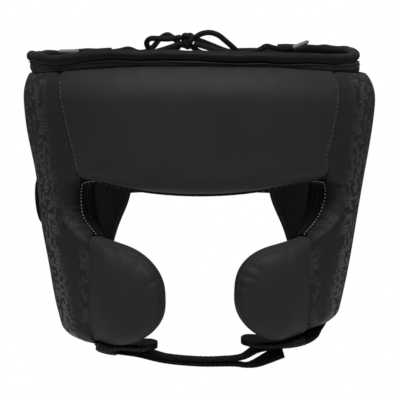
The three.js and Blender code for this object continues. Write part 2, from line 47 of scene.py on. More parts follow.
# Seam surface of the guard: an oval at each height, the same values as the solids
OVALS = {
    "z": (-200, -140, -90, -40, -14, 5),
    "side": (87, 100.5, 108, 116, 114.6, 110.8),
    "front": (93, 100, 103, 104, 102, 101),
    "back": (88, 99, 106, 108, 107, 106),
    "lean": (-0.5, 0, 0, 0, -2.2, -5.6),
}
SQUARENESS = 2.4

# Padding depths and pad heights over the seam surface
RIM_DEPTH, FRONT_DEPTH, SIDE_DEPTH, DEPTH_RAMP = 5, 12, 24, 34
FREE_EDGE = 3.5
PAD_GAP = 0.04  # angle between the edge of a pad and the seam it is sewn into
CREASE = 1.2  # how far the pads lie below the seam surface at the rim
SEAM = 2.9  # height of the seams between pads
EYE_EDGE = -5.5  # height of the bound edge at the sides of the eye opening
LOW_EDGE = -5  # height of the lower edge of a side pad where it is thick
LOW_SWELL = {"left": 0, "right": 2}  # how much fuller each side pad is low down
EDGE_TURN = 5  # how far the cover of a side pad turns over its edge
FOREHEAD_CROWN, SIDE_CROWN, CHEEK_CROWN, CHEEK_BACK = 11, 4, 14, 17
PAD_TOP_FRONT, PAD_TOP_SIDE = -11.5, -18.2
RIM_ROLL = {"height": 7, "inset": 1.5, "half_width": 3.6, "half_depth": 3.2}
RIM_WAVE = {"level": -1.7, "lean": 0.8, "bow": 0.85, "twist": -1.05}
RIM_TUCK = {"angle": 86, "width": 24, "depth": 2.4}  # where the rim and the collar lie further in
RIM_DIPS = {24: (-1, 15), 54: (-1.9, 15), -54: (-3.4, 12)}  # depth and width of each dip, by its angle
RIM_END = 147  # angle at which the rim and the collar end, on both sides
WELT = {"end": 84, "drop": 7.5, "inset": 0.2, "half_depth": 0.6}
COLLAR_BAND = {"out": -0.9, "low_out": -3.6, "thickness": 2.4}
# Half width and half depth of the bindings and the piping
BINDINGS = {
    "eye": (1.4, 2.3),
    "edge": (2.8, 5),
    "hem": (0.8, 0.8),
    "ear": (1.9, 2.4),
    "ear_lining": (1.9, 2.2),
}
BROW_MIDDLE, BROW_RISE, BROW_HALF_ANGLE = -93.8, 9.3, 44
DEGREE = 1.95  # arc length of one degree round the guard

SIDE_FRONT = {
    "z": (-200, -163, -140, -128, -122.5, -119.5, -115, -109, -101,
          -92, -88, -84, -70, -50, -25, -14, 5),
    "angle": (46.6, 43.8, 41.4, 41.2, 42.4, 43.8, 46.4, 48.5, 49.5,
              49, 47.6, 44.9, 45.7, 48.1, 50.4, 49.4, 44),
}
SIDE_REAR = {
    "z": (-200, -132, -106, -60, 5),
    "angle": (119, 134.5, 143, 146, 147),
}
SIDE_BOTTOM = {
    "across": (0, 0.3, 0.5, 0.62, 0.8, 1),
    "left": (-186.8, -187, -187, -182, -160, -136),
    "right": (-196, -197.6, -197.6, -191, -166, -137),
}
# Ear opening: its lip lies at a share of the padding depth, and the radius turns widths into angles
EAR = {"angle": 93, "z": -128, "half_width": 14, "half_height": 22, "lip": 0.45, "radius": 105}
EYE_LOW, EYE_HIGH = (-126, -118), (-92, -85)  # heights over which the eye opening begins and ends
EYE_BAND = 11.5  # width of the rolled band beside the eye opening
# Degrees by which the edge of each side pad gives way outwards beside the eye opening
EYE_GIVE = {
    "z": (-127, -122, -113, -100, -92, -85, -70),
    "left": (0, 0.9, 2.5, 4.1, 4.2, 3, 0),
    "right": (0, 0.9, 1.6, 0.4, 0, 0, 0),
}
CHEEK_TIP = 13.2
CHEEK_TOP = {"across": (0, 0.5, 1), "left": (-122, -127.6, -133), "right": (-121.6, -128, -138)}
CHEEK_BOTTOM = {
    "across": (0, 0.25, 0.5, 1),
    "left": (-189, -190.6, -191, -181.5),
    "right": (-194, -195.2, -194, -186),
}
CHEEK_MIDDLE = 0.45
CHEEK_EDGE = 2.75  # half the thickness of a cheek pad at its outline
CHEEK_SEAM = 0.92  # where the front panel of a cheek pad is sewn, as a share of its reach

REAR_STRAP = {
    "angle": (112, 150, 210, 228, 240, 250, 261),
    "low": (-112, -110, -110, -115, -121, -125, -127),
    "high": (-50, -47, -47, -54, -70, -88, -97),
    "out": (6.4, 5, 5, 6.4, 7, 8, 8.8),
}
REAR_STRAP_THICKNESS, REAR_DEGREE = 3, 2
STRAP_WIDTH, STRAP_THICKNESS, TAB_THICKNESS = 22, 2.2, 4
ROOT = {"length": 17, "thickness": 3.8}  # leather end that sews the chin strap to the pads
# Chin pieces: centre line, and how far the inner edge is tilted up, in degrees
CHIN = {
    "chin_strap_right": (
        (-68, -64, -194.8, 0), (-66.6, -64, -197.6, 0), (-60, -64.8, -199.8, 0), (-50, -66.5, -201.1, -2),
        (-41, -67.8, -202.4, -3), (-23, -69, -206.4, -3), (0, -70, -208.4, -3), (23, -70, -208.6, -4),
        (31, -70, -209.4, -4), (37, -70, -208.1, 2), (46, -69.5, -204.1, 9), (55, -69, -200.5, 10),
    ),
    "chin_strap_left": (
        (75.5, -18, -188.6, 0), (74.4, -25, -188.9, 0), (71.8, -38, -189.8, 0), (67.6, -53, -192.9, 3),
        (58.5, -65.2, -195.2, 5), (46, -67.2, -196.6, 5), (37, -68.5, -199, 1), (28, -69.3, -204, -3),
        (14, -69.6, -205.6, -3), (0, -69.5, -205.8, -3), (-23, -69, -203.8, -3), (-37, -68.5, -200.2, 2),
    ),
    "chin_tab_right": (
        (-65, -67.4, -196, 0), (-58.5, -69, -196.2, 1), (-48, -71, -194.8, 5), (-28, -73, -194.8, 7),
    ),
    "chin_tab_left": ((68, -66, -191.6, 5), (48, -71, -193.2, 8), (27, -73, -191.8, 10)),
}

LACE_DIAMETER, LACE_HEIGHT = 3.6, -13.6
LACE_FULLNESS, KNOT_FULLNESS = 1.08, 1.15  # how full the soft braid is drawn
# Slots of the collar by angle: how far round and how far out the lace turns away inside each
SLOTS = {106: (5.5, -8.5), 118: (2.2, -11), 131: (2.2, -11), 141: (5.5, -8.5)}
SLOT_OUT, WEAVE_OUT = -1.5, 4.4  # height of the lace in a slot and between two slots
EYELET = {"radius": 2.7, "half_width": 0.75, "half_depth": 0.6, "apart": 2.6}
KNOT = (-8.6, 33, 3.6)
LOOPS = {
    "lace_loop_left": (
        (-3.3, 31, 5.6), (1, 29.2, 8), (7, 28, 8.9), (12.6, 28, 7.2), (18, 29, 3), (22.8, 31.6, -1.2),
        (26.2, 37.2, -4.6), (24, 43.6, -5.6), (17, 46.4, -3.6), (9, 44, -0.4),
        (2, 39.6, 2.4), (-3.2, 35.4, 4.2),
    ),
    "lace_loop_right": (
        (-13.7, 31, 5.6), (-18, 29.2, 4.9), (-24, 28, 4.4), (-30, 28.2, 4.8), (-34.8, 30.8, 4.6),
        (-37.4, 35.4, 1.8), (-36, 40.4, -2.2), (-31, 43.2, -5.6), (-25, 43.6, -7),
        (-18.6, 40.6, -4.4), (-13.2, 36, 1.1),
    ),
}
TAILS = {
    "lace_tail_left": (
        (-5.8, 36.9, -0.8), (1, 46.8, -5.4), (13, 52, -6.6), (28, 53, -6.2), (38, 54, -5.2),
        (43, 55, -3.2), (47, 57, -1.1), (52, 60, -2.2), (57.5, 63.5, -3.2), (66, 68, -2.6),
    ),
    "lace_tail_right": (
        (-9.6, 39, -0.3), (-13, 43, 0.2), (-17.6, 44.8, 3.8), (-23, 46.2, 7.2), (-28.4, 48, 4.2),
        (-33, 49.8, -1.2), (-38, 51, -4.6), (-44, 51.4, -5.2), (-50.5, 51.6, -3), (-58, 52, -4.4),
        (-70, 52, -5.4), (-86, 49, -4.6),
    ),
}
AGLET = {"diameter": 4.2, "fullness": 0.74, "length": 14, "rise": {"left": 0.34, "right": 0}}


# Smooth helpers
def lerp(a, b, t):
    return a + (b - a) * t


def smoothstep(x, low, high):
    t = np.clip((x - low) / (high - low), 0, 1)
    return t * t * (3 - 2 * t)


def roll(distance, width):
    """Height of a rounded edge: 0 at the edge and 1 from one width away."""
    t = np.clip(distance / width, 0, 1)
    return np.sqrt(1 - (1 - t) ** 2)


def dip(distance, width):
    """Depth of a soft crease: 1 at the edge and 0 from one width away."""
    return np.clip(1 - distance / width, 0, 1) ** 2


def hump(x, middle, width):
    """Smooth bump: 1 in the middle, falling away over one width."""
    return np.exp(-(((x - middle) / width) ** 2))


def creases(distance, fade, width, wave):
    """Small folds beside a sewn edge: none on the edge itself, and fading away from it."""
    return np.exp(-distance / fade) * np.sin(wave) * roll(distance, width)


def read(table, at, column):
    """Smooth value of one column of a table at places in its first column, whose values ascend."""
    keys = np.array(table[next(iter(table))], float)
    values = np.array(table[column], float)
    at = np.clip(np.asarray(at, float), keys[0], keys[-1])
    i = np.clip(np.searchsorted(keys, at) - 1, 0, len(keys) - 2)
    run, climb = (np.pad(column, 1, "edge") for column in (keys, values))
    slope = (climb[2:] - climb[:-2]) / (run[2:] - run[:-2])
    span = keys[i + 1] - keys[i]
    t = (at - keys[i]) / span
    rise = values[i + 1] - values[i]
    bend = (1 - t) * (slope[i] * span - rise) - t * (slope[i + 1] * span - rise)
    return values[i] + t * rise + t * (1 - t) * bend


def ripple(a, b, length, seed):
    """Smooth uneven wave over two lengths, about -1 to 1."""
    rng = np.random.default_rng(SEED + seed)
    total = 0
    for _ in range(6):
        turn = rng.uniform(0, 2 * math.pi)
        size = length * rng.uniform(0.7, 1.6)
        phase = rng.uniform(0, 2 * math.pi)
        total = total + np.sin((a * math.cos(turn) + b * math.sin(turn)) * 2 * math.pi / size + phase)
    return total / 3


def side_by_side(*values):
    """Array whose last axis holds the given values."""
    return np.stack(np.broadcast_arrays(*values), axis=-1)


def unit(vectors):
    return vectors / np.maximum(np.linalg.norm(vectors, axis=-1, keepdims=True), 1e-9)


# Shape of the guard
def shell(angle, z, out):
    """Point of the seam surface at an angle from the middle of the face, moved outwards."""
    angle, z, out = np.broadcast_arrays(*(np.asarray(value, float) for value in (angle, z, out)))
    across = np.sin(np.radians(angle))
    along = -np.cos(np.radians(angle))
    side = read(OVALS, z, "side")
    depth = np.where(along < 0, read(OVALS, z, "front"), read(OVALS, z, "back"))
    n = SQUARENESS
    radius = (np.abs(across / side) ** n + np.abs(along / depth) ** n) ** (-1 / n)
    x, y = radius * across, radius * along
    nx = np.sign(x) * np.abs(x / side) ** (n - 1) / side
    ny = np.sign(y) * np.abs(y / depth) ** (n - 1) / depth
    scale = out / np.hypot(nx, ny)
    return side_by_side(x + nx * scale + read(OVALS, z, "lean"), y + ny * scale, z)


def unrolled(angle, z):
    """Flat place of a point of the guard, for patterns: its run round the guard and its height."""
    return side_by_side(angle * DEGREE, z)


def side_name(sign):
    return "left" if sign > 0 else "right"


def rim_lift(angle):
    turn = np.radians(angle)
    wave = RIM_WAVE["bow"] * np.cos(2 * turn) + RIM_WAVE["twist"] * np.sin(2 * turn)
    dips = sum(depth * hump(angle, at, width) for at, (depth, width) in RIM_DIPS.items())
    return RIM_WAVE["level"] + RIM_WAVE["lean"] * np.sin(turn) + wave + dips


def pad_top(angle):
    return lerp(PAD_TOP_FRONT, PAD_TOP_SIDE, smoothstep(np.abs(angle), 15, 80))


def brow_edge(angle):
    return BROW_MIDDLE + BROW_RISE * (angle / BROW_HALF_ANGLE) ** 2


def beside_eye(z):
    """1 at the heights of the eye opening, 0 above and below it."""
    return smoothstep(z, *EYE_LOW) * (1 - smoothstep(z, *EYE_HIGH))


def side_front(z, sign):
    """Front edge of a side pad."""
    give = np.where(np.asarray(sign) > 0, read(EYE_GIVE, z, "left"), read(EYE_GIVE, z, "right"))
    return read(SIDE_FRONT, z, "angle") + give


def side_rear(z):
    return read(SIDE_REAR, z, "angle")


def side_bottom(across, sign):
    return read(SIDE_BOTTOM, across, side_name(sign))


def inner_depth(angle, z):
    full = lerp(FRONT_DEPTH, SIDE_DEPTH, smoothstep(np.abs(angle), 22, 76))
    return lerp(RIM_DEPTH, full, smoothstep(pad_top(angle) - z, -4, DEPTH_RAMP))


def forehead_half(z, sign):
    return side_front(np.maximum(z, -85), sign) - PAD_GAP


def together(drops):
    """Combined depth of several edges, rounded where they meet."""
    return sum(np.maximum(drop, 0) ** 4 for drop in drops) ** 0.25


def gathered_top(angle):
    """Top line of the pads, drawn up unevenly by the stitching of the rim."""
    run = angle * DEGREE
    return pad_top(angle) + 0.6 * ripple(run, 0 * run, 34, 5) + 0.3 * ripple(run, 0 * run, 11, 6)


def under_rim(to_top, width):
    """Share of the drop under the rim: between a soft crease and a rounded edge."""
    return lerp(dip(to_top, width), 1 - roll(to_top, width + 4), 0.45)


def forehead_out(angle, z):
    """Outer height of the forehead pad over the seam surface."""
    thin = FREE_EDGE - inner_depth(angle, z)
    to_side = np.maximum((forehead_half(z, angle) - np.abs(angle)) * DEGREE, 0)
    to_top = np.maximum(gathered_top(angle) - z, 0)
    to_brow = np.maximum(z - brow_edge(angle), 0)
    crown = lerp(4.5, FOREHEAD_CROWN, smoothstep(to_side, -4, 52))
    brow = lerp(thin, np.maximum(-2, thin), smoothstep(np.abs(angle), 33, 43))
    drop = together((
        (crown - SEAM) * dip(to_side, 10),
        (crown + CREASE) * under_rim(to_top, 20),
        (crown - brow) * (1 - roll(to_brow, 12)),
    ))
    pucker = creases(to_side, 7, 8, z * 0.75 + 2 * ripple(angle, z, 30, 1))
    gather = creases(to_top, 9, 8, angle * 0.6 + 3 * ripple(angle, z, 40, 2))
    tuck = creases(to_brow, 6, 10, angle * 0.8 + 3 * ripple(angle, z, 45, 3))
    soft = 0.5 * ripple(angle * DEGREE, z, 90, 4) * roll(to_side, 30) * roll(to_top, 30) * roll(to_brow, 30)
    return np.maximum(crown - drop, thin) + 0.2 * pucker + 0.5 * gather + 0.25 * tuck + soft


def ear_reach(angle, z):
    """1 on the rim of the ear opening, growing outwards."""
    a = (angle - EAR["angle"]) * math.radians(EAR["radius"]) / EAR["half_width"]
    return np.hypot(a, (z - EAR["z"]) / EAR["half_height"])


def side_out(sign, angle, z):
    """Outer height of a side pad over the seam surface. The angle counts towards that side."""
    depth = inner_depth(angle, z)
    front, rear = side_front(z, sign), side_rear(z)
    across = np.clip((angle - front) / (rear - front), 0, 1)
    thin = FREE_EDGE - depth
    eye = beside_eye(z)
    thick = 1 - smoothstep(angle, 84, 108)
    seed = 10 if sign > 0 else 20
    to_front = np.maximum((angle - front) * DEGREE, 0)
    to_rear = np.maximum((rear - angle) * DEGREE, 0)
    to_top = np.maximum(gathered_top(sign * angle) - z, 0)
    to_low = np.maximum(z - side_bottom(across, sign), 0)
    to_hem = np.minimum(to_low, to_rear)
    to_ear = np.maximum(ear_reach(angle, z) - 1, 0) * 17
    front_edge = lerp(np.maximum(SEAM, thin), np.maximum(EYE_EDGE, thin), eye)
    low_edge = lerp(thin, np.maximum(LOW_EDGE, thin), thick)
    drop = together((
        (SIDE_CROWN - front_edge) * lerp(dip(to_front, 10), 1 - roll(to_front, 9), eye),
        (SIDE_CROWN - thin) * (1 - roll(to_rear, 26)),
        (SIDE_CROWN - np.maximum(-CREASE, thin)) * under_rim(to_top, 16),
        (SIDE_CROWN - low_edge) * (1 - roll(to_low, lerp(24, 9, thick))),
        (SIDE_CROWN + EAR["lip"] * depth) * (1 - roll(to_ear, 15)),
    ))
    band = eye * (1.3 * hump(to_front, EYE_BAND, 1.3) - 0.9 * hump(to_front, 6, 3))
    pucker = creases(to_front, 8, 8, z * 0.7 + 2 * ripple(angle, z, 28, seed))
    gather = creases(to_top, 9, 8, angle * 0.8 + 2 * ripple(angle, z, 30, seed + 1))
    hem = creases(to_hem, 10, 10, (angle * 2 - z) * 0.4 + 2 * ripple(angle, z, 35, seed + 2))
    swell = LOW_SWELL[side_name(sign)] * hump(z, -164, 26) * smoothstep(angle, 55, 75)
    flat = np.clip(1 - drop / 8, 0, 1)
    soft = (swell + 0.6 * ripple(angle * DEGREE, z, 70, seed + 3)) * flat
    return np.maximum(SIDE_CROWN - drop, thin) - band + 0.3 * pucker + 0.6 * gather + 0.4 * hem + soft


def print_and_sheen_share(sign, angle, z):
    """Share of the mosaic that shows, in a lighter ink that is partly painted sheen of the print: most on
    the side, less beside the eye opening and the cheek.
    """
    to_front = (angle - side_front(z, sign)) * DEGREE
    side = smoothstep(angle, 52, 63) * (1 - 0.5 * smoothstep(angle, 94, 112))
    side = side * lerp(0.4, 1, smoothstep(-z, 40, 130))
    low = smoothstep(z, *EYE_LOW) * (1 - smoothstep(z, -108, -99))
    band = 0.18 * low * (1 - smoothstep(to_front, EYE_BAND - 2, EYE_BAND))
    strip = 0.25 * (1 - smoothstep(np.abs(z + 158), 20, 34)) * (1 - smoothstep(to_front, 7, 11))
    return np.maximum(side, np.maximum(band, strip))


def cheek_place(sign, a, b):
    """Angle and height at a place on a cheek pad, a from the seam at -1 to the tip at 1, b upwards."""
    across = CHEEK_MIDDLE + a * np.where(a < 0, CHEEK_MIDDLE, 1 - CHEEK_MIDDLE)
    low, high = (read(table, across, side_name(sign)) for table in (CHEEK_BOTTOM, CHEEK_TOP))
    z = lerp(low, high, (1 + b) / 2)
    seam = side_front(np.minimum(z, -127), sign) - PAD_GAP
    return lerp(seam, CHEEK_TIP, across), z


def cheek_norm(a, b):
    m = np.where(a < 0, 16.0, 2.7)
    return (np.abs(a) ** m + np.abs(b) ** m) ** (1 / m)


def cheek_out(sign, a, b):
    """Outer and inner heights of a cheek pad: a front panel sewn to a gusset, with puckers at the seam."""
    seed = 31 if sign > 0 else 41
    reach = np.minimum(cheek_norm(a, b), 1)
    free = np.minimum(np.where(a < 0, np.abs(b), reach), 1)
    swell = np.sqrt(np.maximum(0, 1 - free ** 3.6))
    to_seam = (1 + a) * 24
    crown = lerp(5, CHEEK_CROWN, smoothstep(a, -1.1, 0.2))
    outer = lerp(-CHEEK_EDGE, crown, swell)
    outer = outer - np.maximum(outer - SEAM, 0) * dip(to_seam, 9)
    inner = -lerp(CHEEK_EDGE, CHEEK_BACK, swell)
    turn = np.arctan2(b, a)
    open_side = (1 - smoothstep(-a, 0.3, 0.75)) * smoothstep(b, -1.1, -0.5)
    groove = hump(reach, CHEEK_SEAM, 0.02)
    beside = np.exp(-np.abs(reach - CHEEK_SEAM + 0.05) / 0.1)
    fold = 2 * np.abs(np.sin(turn * 7 + 1.6 * ripple(turn * 20, reach * 20, 22, seed))) - 1
    near_seam = creases(to_seam, 5, 7, b * 13 + 2 * ripple(a * 20, b * 20, 20, seed + 1))
    soft = 0.55 * ripple(a * 25, b * 32, 34, seed + 2) * swell * roll(to_seam, 12)
    sewn = open_side * smoothstep(b, -0.4, 0.4) * (0.9 * groove - 1.5 * beside * fold * swell)
    return outer - sewn + 0.2 * near_seam * swell + soft, inner


def forehead_point(angle, z):
    return shell(angle, z, forehead_out(angle, z))


def cheek_point(sign, a, b):
    angle, z = cheek_place(sign, a, b)
    return shell(sign * angle, z, cheek_out(sign, a, b)[0])


# Meshes
def quads(index, flip=False):
    a, b = index[:-1, :-1], index[1:, :-1]
    c, d = index[1:, 1:], index[:-1, 1:]
    order = (a, d, c, b) if flip else (a, b, c, d)
    return side_by_side(*order).reshape(-1, 4).tolist()


def closed_tube(index):
    """Faces of a tube with flat ends, from the numbers of its points ring by ring."""
    return quads(np.hstack([index, index[:, :1]])) + [index[0].tolist(), index[-1][::-1].tolist()]


def add_object(name, data):
    made = bpy.data.objects.new(name, data)
    bpy.context.scene.collection.objects.link(made)
    return made


def make(name, points, faces, materials, uv=None, face_material=None, share=None):
    """Mesh piece in metres that rides on the guard, with its faces turned outwards."""
    data = bpy.data.meshes.new(name)
    data.from_pydata((np.asarray(points, float).reshape(-1, 3) * MM).tolist(), [], faces)
    for material in materials:
        data.materials.append(material)
    if face_material is not None:
        data.polygons.foreach_set("material_index", np.asarray(face_material, np.int32))
    if uv is not None:
        corners = np.zeros(len(data.loops), np.int32)
        data.loops.foreach_get("vertex_index", corners)
        layer = data.uv_layers.new(name="UVMap")
        layer.data.foreach_set("uv", np.asarray(uv, np.float32).reshape(-1, 2)[corners].ravel())
    if share is not None:
        layer = data.attributes.new("print_and_sheen", "FLOAT", "POINT")
        layer.data.foreach_set("value", np.asarray(share, np.float32).ravel())
    tidy = bmesh.new()
    tidy.from_mesh(data)
    bmesh.ops.recalc_face_normals(tidy, faces=tidy.faces)
    tidy.to_mesh(data)
    tidy.free()
    data.shade_smooth()
    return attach(add_object(name, data), "root")


def slab(name, outer, inner, materials, uv, wrap=False, share=None):
    """Closed solid between an outer and an inner grid of points, with their edges joined.
    The first material covers the outer grid, the second the inner one, the last a wrapped slab's outline."""
    rows, columns = outer.shape[:2]
    front = np.arange(rows * columns).reshape(rows, columns)
    back = front + rows * columns
    if wrap:
        around = np.hstack([front, front[:, :1]])
        behind = np.hstack([back, back[:, :1]])
        rims = [(around[0], behind[0]), (behind[-1], around[-1])]
    else:
        around, behind = front, back
        loop = [front[0], front[1:, -1], front[-1, -2::-1], front[-2::-1, 0]]
        ring = np.concatenate(loop)
        rims = [(ring, ring + rows * columns)]
    face_lists = [quads(around), quads(behind, flip=True)]
    face_lists += [quads(np.stack([one, two])) for one, two in rims]
    kinds = [0, 1, 0, len(materials) - 1]
    faces = [face for faces in face_lists for face in faces]
    face_material = [kind for kind, faces in zip(kinds, face_lists) for _ in faces]
    points = np.concatenate([outer.reshape(-1, 3), inner.reshape(-1, 3)])
    uvs = np.concatenate([uv.reshape(-1, 2)] * 2)
    shares = None if share is None else np.concatenate([share.ravel(), 0 * share.ravel()])
    return make(name, points, faces, materials, uvs, face_material, shares)


def path_frames(path, outward=None):
    """Unit vectors along, aside and up at each point of a path."""
    ahead = unit(np.gradient(path, axis=0))
    if outward is not None:
        aside = unit(np.cross(ahead, outward))
        return ahead, aside, unit(np.cross(aside, ahead))
    start = np.eye(3)[np.argmin(np.abs(ahead[0]))]
    aside = [unit(np.cross(ahead[0], start))]
    for step in ahead[1:]:
        aside.append(unit(aside[-1] - step * (aside[-1] @ step)))
    aside = np.array(aside)
    return ahead, aside, np.cross(ahead, aside)


def run_length(path):
    """Length run up to each point of a path."""
    return np.concatenate([[0], np.cumsum(np.linalg.norm(np.diff(path, axis=0), axis=1))])


def sweep(name, path, aside, up, section, half_width, half_height, material):
    """Closed sweep of a section along a path, with flat ends."""
    count = len(section)
    size = side_by_side(half_width, half_height, path[:, 0])
    grid = path[:, None] + size[:, :1, None] * section[None, :, :1] * aside[:, None]
    grid = grid + size[:, 1:2, None] * section[None, :, 1:] * up[:, None]
    faces = closed_tube(np.arange(len(path) * count).reshape(-1, count))
    uv = side_by_side(np.arange(count) / count, run_length(path)[:, None])
    return make(name, grid, faces, [material], uv)


def circle(sides):
    turn = np.arange(sides) * 2 * math.pi / sides
    return side_by_side(np.cos(turn), np.sin(turn))


def flat_section(corner):
    """Section of a strap with rounded edges, in half widths across and half thicknesses up."""
    turn = np.linspace(-math.pi / 2, math.pi / 2, 5)
    right = side_by_side(1 - corner + corner * np.cos(turn), np.sin(turn))
    top = side_by_side(np.linspace(1 - corner, corner - 1, 14)[1:-1], 1)
    return np.concatenate([right, top, -right, -top])


def smooth_path(points, steps):
    """Smooth curve through points, with a number of steps to each stretch."""
    points = np.asarray(points, float)
    ends = [2 * points[0] - points[1], 2 * points[-1] - points[-2]]
    longer = np.concatenate([ends[:1], points, ends[1:]])
    gaps = np.sqrt(np.linalg.norm(np.diff(longer, axis=0), axis=1))
    line = []
    for i in range(len(points) - 1):
        p0, p1, p2, p3 = longer[i:i + 4]
        d0, d1, d2 = gaps[i:i + 3]
        m1 = ((p1 - p0) / d0 - (p2 - p0) / (d0 + d1) + (p2 - p1) / d1) * d1
        m2 = ((p2 - p1) / d1 - (p3 - p1) / (d1 + d2) + (p3 - p2) / d2) * d1
        for t in np.arange(steps) / steps:
            square, cube = t * t, t * t * t
            line.append((2 * cube - 3 * square + 1) * p1 + (cube - 2 * square + t) * m1
                        + (3 * square - 2 * cube) * p2 + (cube - square) * m2)
    line.append(points[-1])
    return np.array(line)


# Rings of a stitch: place along its length and share of its radius
STITCH_RINGS = ((-0.5, 0.25), (-0.4, 0.8), (-0.2, 1), (0.2, 1), (0.4, 0.8), (0.5, 0.25))


def stitches(name, runs, material, pitch=3.2, length=2.0, radius=0.28):
    """Rows of single stitches: each run is a path and the outward directions along it."""
    ring = circle(6)
    numbers = np.arange(len(STITCH_RINGS) * len(ring)).reshape(-1, len(ring))
    points, faces = [], []
    for path, normals in runs:
        steps = run_length(path)
        ahead = np.gradient(path, axis=0)
        for place in np.arange(pitch / 2, steps[-1], pitch):
            spot, normal, tangent = (
                np.array([np.interp(place, steps, values[:, k]) for k in range(3)])
                for values in (path, normals, ahead)
            )
            tangent, normal = unit(tangent), unit(normal)
            aside = np.cross(tangent, normal)
            faces += closed_tube(len(points) + numbers)
            for at, size in STITCH_RINGS:
                middle = spot + tangent * at * length - normal * 0.45 * radius * (abs(at) * 2) ** 3
                points += [middle + radius * size * (aside * c + normal * s) for c, s in ring]
    make(name, points, faces, [material])


def facing(surface, p, q, step):
    """Outward unit vectors of a surface given by two values."""
    over_p = surface(p + step, q) - surface(p - step, q)
    over_q = surface(p, q + step) - surface(p, q - step)
    normals = unit(np.cross(over_p, over_q))
    radial = surface(p, q) * np.array([1, 1, 0])
    return normals * np.sign((normals * radial).sum(-1, keepdims=True))


# Materials
# Ink of the tonal mosaic, much lighter than the leather: the print, and painted sheen where its gloss would
# catch the light
PRINT_INK_AND_SHEEN = 0.11
PRINT_BRICKS = ((5.4, 2.3), (2.7, 4.4))  # width and height of the two sizes of rectangle in the mosaic


def grey(value):
    """Neutral grey with a trace of blue."""
    return (value, value, 1.035 * value, 1)


def new_material(name, shade, roughness, specular):
    material = bpy.data.materials.new(name)
    material.use_nodes = True
    shader = material.node_tree.nodes["Principled BSDF"]
    shader.inputs["Base Color"].default_value = grey(shade)
    shader.inputs["Roughness"].default_value = roughness
    shader.inputs["Specular IOR Level"].default_value = specular
    return material, material.node_tree, shader


def node(tree, kind, inputs=(), **settings):
    """New shader node: its settings, and its inputs as sockets to link or values to set."""
    made = tree.nodes.new("ShaderNode" + kind)
    for key, value in settings.items():
        setattr(made, key, value)
    for key, value in dict(inputs).items():
        if isinstance(value, bpy.types.NodeSocket):
            tree.links.new(value, made.inputs[key])
        else:
            made.inputs[key].default_value = value
    return made


def calc(tree, operation, *values):
    return node(tree, "Math", enumerate(values), operation=operation).outputs[0]


def noise(tree, place, scale, detail):
    return node(tree, "TexNoise", {"Vector": place, "Scale": scale, "Detail": detail}).outputs["Fac"]


def spread_to(tree, value, low, high):
    """Map a 0 to 1 value to a range."""
    return node(tree, "MapRange", {"Value": value, "To Min": low, "To Max": high}).outputs["Result"]


def tint(tree, factor, dark, light):
    """Mix of two colours: each is a grey to set or a socket to link."""
    mix = node(tree, "Mix", {"Factor": factor}, data_type="RGBA")
    ends = [socket for socket in mix.inputs if socket.type == "RGBA"]
    for end, colour in zip(ends, (dark, light)):
        if isinstance(colour, bpy.types.NodeSocket):
            tree.links.new(colour, end)
        else:
            end.default_value = grey(colour)
    return next(socket for socket in mix.outputs if socket.type == "RGBA")


def blend(tree, factor, one, two):
    return node(tree, "Mix", {"Factor": factor, "A": one, "B": two}, data_type="FLOAT").outputs[0]


def bump(tree, shader, height, distance, strength):
    made = node(tree, "Bump", {"Height": height, "Distance": distance, "Strength": strength})
    tree.links.new(made.outputs["Normal"], shader.inputs["Normal"])


def mosaic(tree):
    """Ink of small rectangles in two sizes, as strong as each point's own share of print and painted sheen.
    """
    flat = node(tree, "UVMap").outputs["UV"]
    inks = []
    for width, row in PRINT_BRICKS:
        brick = node(tree, "TexBrick", {
            "Vector": flat, "Scale": 1.0, "Brick Width": width, "Row Height": row,
            "Color1": (0, 0, 0, 1), "Color2": (1, 1, 1, 1),
            "Mortar": (0, 0, 0, 1), "Mortar Size": 0.24, "Mortar Smooth": 0.2,
        })
        inks.append(calc(tree, "GREATER_THAN", brick.outputs["Color"], 0.45))
    choose = calc(tree, "GREATER_THAN", noise(tree, flat, 0.06, 1.0), 0.5)
    share = node(tree, "Attribute", attribute_name="print_and_sheen").outputs["Fac"]
    return calc(tree, "MULTIPLY", blend(tree, choose, *inks), share)


def leather(name, dark, light, roughness, specular, print_and_sheen_on=False):
    """Matte grained leather cloth, with a tonal mosaic of small rectangles on the side panels, drawn lighter
    than the leather: print with painted sheen.
    """
    material, tree, shader = new_material(name, dark, roughness, specular)
    place = node(tree, "TexCoord").outputs["Object"]
    cloud = noise(tree, place, 38.0, 3.0)
    grain = node(tree, "TexVoronoi", {"Vector": place, "Scale": 950.0}, feature="SMOOTH_F1")
    height = calc(tree, "ADD", grain.outputs["Distance"], noise(tree, place, 420.0, 4.0))
    colour = tint(tree, cloud, dark, light)
    rough = spread_to(tree, cloud, roughness - 0.05, roughness + 0.07)
    if print_and_sheen_on:
        # Mosaic ink: the print, partly painted sheen
        ink = mosaic(tree)
        colour = tint(tree, ink, colour, PRINT_INK_AND_SHEEN)
        rough = blend(tree, ink, rough, 0.33)
    tree.links.new(colour, shader.inputs["Base Color"])
    tree.links.new(rough, shader.inputs["Roughness"])
    bump(tree, shader, height, 0.0003, 0.22)
    return material


def textile(name, dark, light, thread):
    """Dull woven cloth: two crossed sets of threads a given distance apart."""
    material, tree, shader = new_material(name, dark, 0.85, 0.2)
    place = node(tree, "TexCoord").outputs["Object"]
    size = {"Vector": place, "Scale": 0.314 / (thread * MM), "Distortion": 1.2, "Detail": 1.0}
    waves = [node(tree, "TexWave", size, bands_direction=axis).outputs["Fac"] for axis in ("X", "Z")]
    weave = calc(tree, "MULTIPLY", *waves)
    both = calc(tree, "MULTIPLY", weave, noise(tree, place, 60.0, 3.0))
    tree.links.new(tint(tree, both, dark, light), shader.inputs["Base Color"])
    bump(tree, shader, weave, 0.0004, 0.6)
    return material


